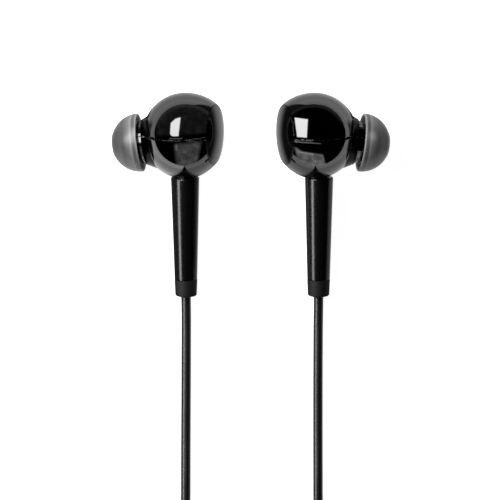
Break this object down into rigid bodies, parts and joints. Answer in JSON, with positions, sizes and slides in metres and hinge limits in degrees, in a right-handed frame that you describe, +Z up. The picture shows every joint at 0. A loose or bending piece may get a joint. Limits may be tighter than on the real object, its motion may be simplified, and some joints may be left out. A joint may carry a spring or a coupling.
{
  "type": "wired earphones",
  "caption": "In-ear earphones with round glossy housings, soft silicone tips and slim stems, on thin cables that join at a splitter and end in a straight jack plug.",
  "frame": {"origin": "on the table, under the middle of the box round the two buds without their cords", "axes": "+X from the left bud to the right one, +Y from the stems' ends toward the housings, +Z up off the table"},
  "size_m": [0.0581, 0.1805, 0.018],
  "materials": {
    "gloss_black": "polished black ABS",
    "satin_black": "satin black, fine grain",
    "rubber_black": "matt black moulded rubber",
    "cable_black": "smooth black elastomer jacket",
    "smoke_silicone": "smoky translucent silicone",
    "frame_grey": "moulded grey",
    "film_amber": "thin pressed film",
    "foam_grey": "closed-cell foam",
    "felt_white": "acoustic felt",
    "board_green": "solder mask",
    "insulator_black": "moulded black",
    "steel": "pressed steel",
    "nickel": "nickel plated",
    "copper": "enamelled copper wire",
    "gold": "gold plated brass"
  },
  "bodies": {
    "earphones": {"shell_upper_left": "gloss_black", "shell_lower_left": "gloss_black", "lead_wire_left": "copper", "back_cap_left": "gloss_black", "driver_frame_left": "frame_grey", "driver_yoke_left": "steel", "driver_magnet_left": "nickel", "driver_plate_left": "steel", "driver_gasket_left": "foam_grey", "terminal_board_left": "board_green", "rear_damper_left": "felt_white", "nozzle_left": "satin_black", "nozzle_mesh_left": "steel", "stem_left": "satin_black", "boot_left": "rubber_black", "inner_cable_left": "cable_black", "cable_anchor_left": "rubber_black", "shell_upper_right": "gloss_black", "shell_lower_right": "gloss_black", "lead_wire_right": "copper", "back_cap_right": "gloss_black", "driver_frame_right": "frame_grey", "driver_yoke_right": "steel", "driver_magnet_right": "nickel", "driver_plate_right": "steel", "driver_gasket_right": "foam_grey", "terminal_board_right": "board_green", "rear_damper_right": "felt_white", "nozzle_right": "satin_black", "nozzle_mesh_right": "steel", "stem_right": "satin_black", "boot_right": "rubber_black", "inner_cable_right": "cable_black", "cable_anchor_right": "rubber_black", "branch_left": "cable_black", "branch_coil_left": "cable_black", "branch_end_left": "cable_black", "branch_tie_left": "rubber_black", "branch_right": "cable_black", "branch_coil_right": "cable_black", "branch_end_right": "cable_black", "branch_tie_right": "rubber_black", "splitter": "rubber_black", "main_coil": "cable_black", "main_end": "cable_black", "main_tie": "rubber_black", "plug_boot": "rubber_black", "plug_grip": "rubber_black", "plug_sleeve": "gold", "plug_insulator_rear": "insulator_black", "plug_ring": "gold", "plug_insulator_front": "insulator_black", "plug_tip": "gold"},
    "ear_tip_left": {"ear_tip_left": "smoke_silicone"},
    "diaphragm_left": {"diaphragm_left": "film_amber", "voice_coil_left": "copper"},
    "ear_tip_right": {"ear_tip_right": "smoke_silicone"},
    "diaphragm_right": {"diaphragm_right": "film_amber", "voice_coil_right": "copper"}
  },
  "joints": [
    {"name": "ear_tip_left_pull", "type": "slide", "parent": "earphones", "child": "ear_tip_left", "axis": [-0.9868, -0.1021, -0.126], "range_m": [0, 0.0045]},
    {"name": "ear_tip_right_pull", "type": "slide", "parent": "earphones", "child": "ear_tip_right", "axis": [0.9871, -0.0996, -0.1253], "range_m": [0, 0.0045]},
    {"name": "diaphragm_left_travel", "type": "slide", "parent": "earphones", "child": "diaphragm_left", "axis": [-0.959, 0.0535, -0.2783], "range_m": [-0.00015, 0.00015], "stiffness_N_per_m": 30},
    {"name": "diaphragm_right_travel", "type": "slide", "parent": "earphones", "child": "diaphragm_right", "axis": [0.9588, 0.0547, -0.2787], "range_m": [-0.00015, 0.00015], "stiffness_N_per_m": 30}
  ]
}
